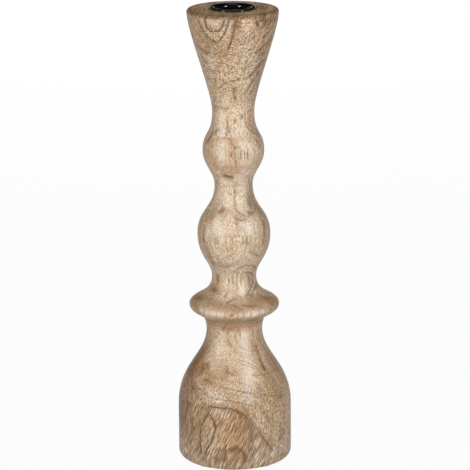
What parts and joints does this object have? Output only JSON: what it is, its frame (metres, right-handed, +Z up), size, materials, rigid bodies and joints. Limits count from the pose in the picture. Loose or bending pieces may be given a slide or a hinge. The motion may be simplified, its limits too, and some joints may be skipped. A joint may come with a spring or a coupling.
{
  "type": "candle holder",
  "caption": "Turned wooden candle holder with a wide base, a collar, swelling beads and a flared head that carries a black steel cup for a taper candle.",
  "frame": {"origin": "middle of the plane that the felt pads stand on, on the axis of the turned wood", "axes": "+Z up along the turning axis, from the base to the candle cup; X and Y lie between the felt pads"},
  "size_m": [0.0744, 0.0744, 0.3028],
  "materials": {
    "wood": "sanded tan hardwood with open pores under a thin satin oil",
    "black_lacquer": "glossy black lacquer on pressed steel",
    "screw_steel": "zinc-plated steel, slightly dull",
    "felt": "pressed dark brown felt"
  },
  "bodies": {
    "root": {"turned_body": "wood", "candle_cup": "black_lacquer", "cup_screw": "screw_steel", "felt_pad_1": "felt", "felt_pad_2": "felt", "felt_pad_3": "felt", "felt_pad_4": "felt"}
  },
  "joints": []
}
